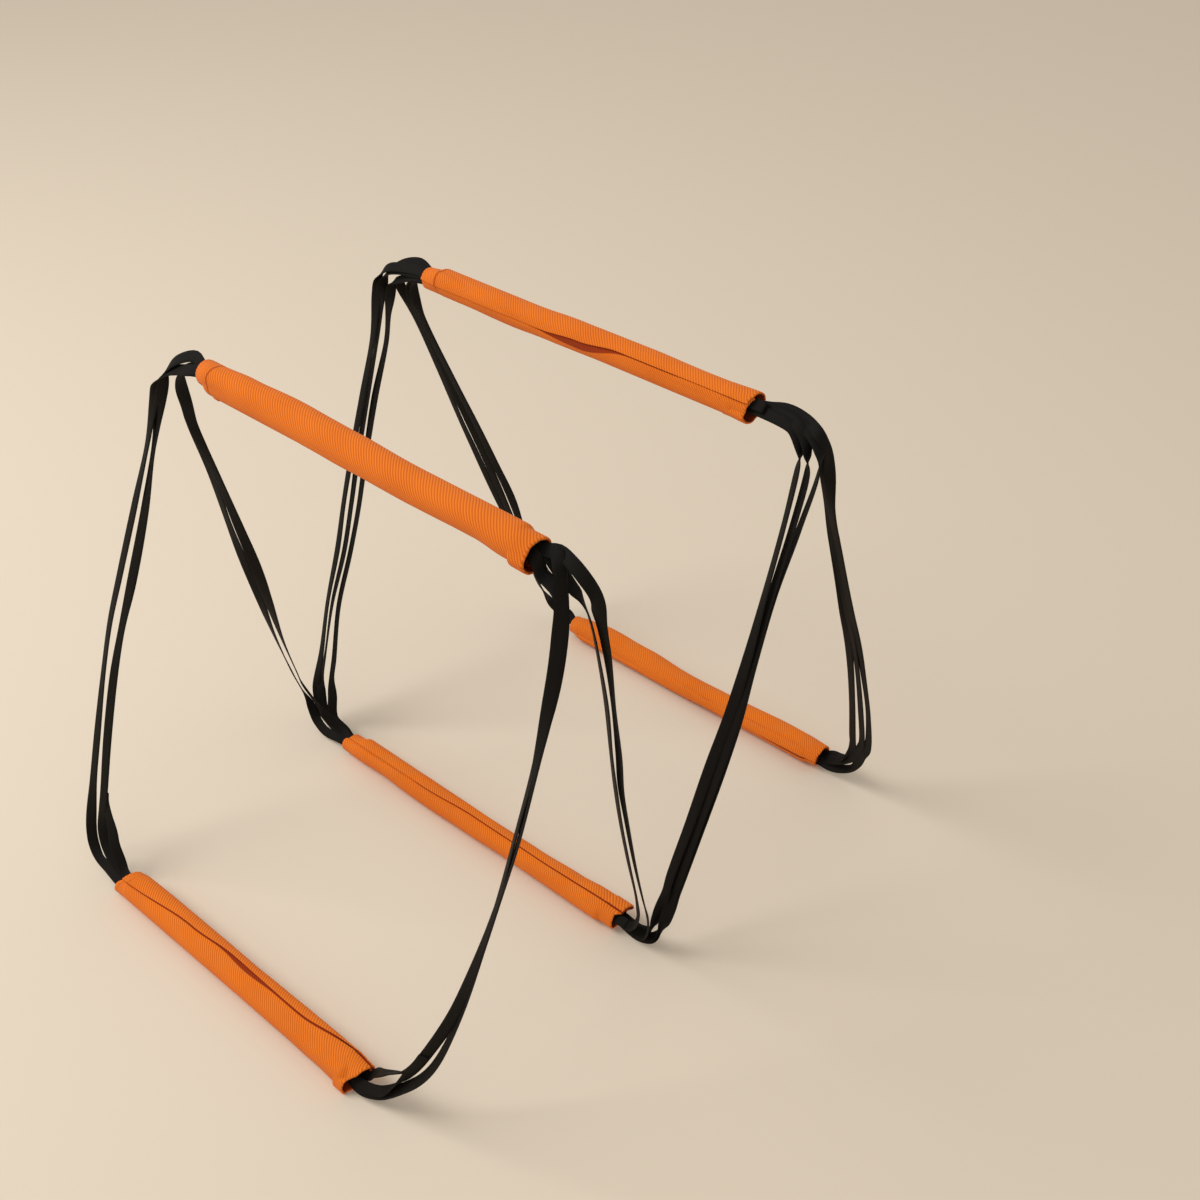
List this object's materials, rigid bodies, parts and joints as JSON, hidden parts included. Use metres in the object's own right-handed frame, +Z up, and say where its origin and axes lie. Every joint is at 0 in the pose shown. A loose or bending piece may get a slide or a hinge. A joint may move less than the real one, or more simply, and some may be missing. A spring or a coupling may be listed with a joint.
{
  "type": "agility ladder",
  "caption": "Webbing agility ladder with orange fabric-covered rungs, stood up in a folded zigzag.",
  "frame": {"origin": "on the floor, in the middle of the flat under the third rung", "axes": "+X along the rungs to the right, +Y from the first rung to the last, +Z up"},
  "size_m": [0.5664, 0.6163, 0.5564],
  "materials": {
    "orange_twill": "woven twill",
    "tube_plastic": "matte",
    "black_webbing": "woven webbing"
  },
  "bodies": {
    "rung_1": {"rung_1_sleeve": "orange_twill", "rung_1_tube": "tube_plastic", "rung_1_webbing": "black_webbing"},
    "rung_2": {"rung_2_sleeve": "orange_twill", "rung_2_tube": "tube_plastic", "rung_2_webbing": "black_webbing"},
    "rung_3": {"rung_3_sleeve": "orange_twill", "rung_3_tube": "tube_plastic", "rung_3_webbing": "black_webbing"},
    "rung_4": {"rung_4_sleeve": "orange_twill", "rung_4_tube": "tube_plastic", "rung_4_webbing": "black_webbing"},
    "rung_5": {"rung_5_sleeve": "orange_twill", "rung_5_tube": "tube_plastic", "rung_5_webbing": "black_webbing"},
    "span_1": {"span_1_left_strap_1": "black_webbing", "span_1_left_strap_2": "black_webbing", "span_1_right_strap_1": "black_webbing", "span_1_right_strap_2": "black_webbing"},
    "span_2": {"span_2_left_strap_1": "black_webbing", "span_2_left_strap_2": "black_webbing", "span_2_right_strap_1": "black_webbing", "span_2_right_strap_2": "black_webbing"},
    "span_3": {"span_3_left_strap_1": "black_webbing", "span_3_left_strap_2": "black_webbing", "span_3_left_strap_3": "black_webbing", "span_3_right_strap_1": "black_webbing", "span_3_right_strap_2": "black_webbing", "span_3_right_strap_3": "black_webbing"},
    "span_4": {"span_4_left_strap_1": "black_webbing", "span_4_left_strap_2": "black_webbing", "span_4_left_strap_3": "black_webbing", "span_4_right_strap_1": "black_webbing", "span_4_right_strap_2": "black_webbing", "span_4_right_strap_3": "black_webbing"}
  },
  "joints": [
    {"name": "front_fold", "type": "hinge", "parent": "rung_3", "child": "span_2", "pos_m": [0, 0, 0.013], "axis": [1, 0, 0], "range_deg": [-12.5, 75.39]},
    {"name": "front_crest_to_back_span", "type": "hinge", "parent": "span_2", "child": "rung_2", "pos_m": [0.055, -0.138, 0.54231], "axis": [1, 0, 0], "range_deg": [-75.39, 12.5]},
    {"name": "front_crest_to_front_span", "type": "hinge", "parent": "rung_2", "child": "span_1", "pos_m": [0.055, -0.138, 0.54231], "axis": [1, 0, 0], "range_deg": [-75.39, 12.5]},
    {"name": "front_foot", "type": "hinge", "parent": "span_1", "child": "rung_1", "pos_m": [-0.037, -0.276, 0.013], "axis": [1, 0, 0], "range_deg": [-12.5, 75.39]},
    {"name": "rear_fold", "type": "hinge", "parent": "rung_3", "child": "span_3", "pos_m": [0, 0, 0.013], "axis": [-1, 0, 0], "range_deg": [-15, 72.65]},
    {"name": "rear_crest_to_front_span", "type": "hinge", "parent": "span_3", "child": "rung_4", "pos_m": [0.01, 0.153, 0.50265], "axis": [-1, 0, 0], "range_deg": [-72.65, 15]},
    {"name": "rear_crest_to_back_span", "type": "hinge", "parent": "rung_4", "child": "span_4", "pos_m": [0.01, 0.153, 0.50265], "axis": [-1, 0, 0], "range_deg": [-72.65, 15]},
    {"name": "rear_foot", "type": "hinge", "parent": "span_4", "child": "rung_5", "pos_m": [0.035, 0.306, 0.013], "axis": [-1, 0, 0], "range_deg": [-15, 72.65]}
  ],
  "couplings": [
    {"joint": "front_crest_to_back_span", "follows": "front_fold", "ratio": -1},
    {"joint": "front_crest_to_front_span", "follows": "front_fold", "ratio": -1},
    {"joint": "front_foot", "follows": "front_fold", "ratio": 1},
    {"joint": "rear_crest_to_front_span", "follows": "rear_fold", "ratio": -1},
    {"joint": "rear_crest_to_back_span", "follows": "rear_fold", "ratio": -1},
    {"joint": "rear_foot", "follows": "rear_fold", "ratio": 1}
  ]
}
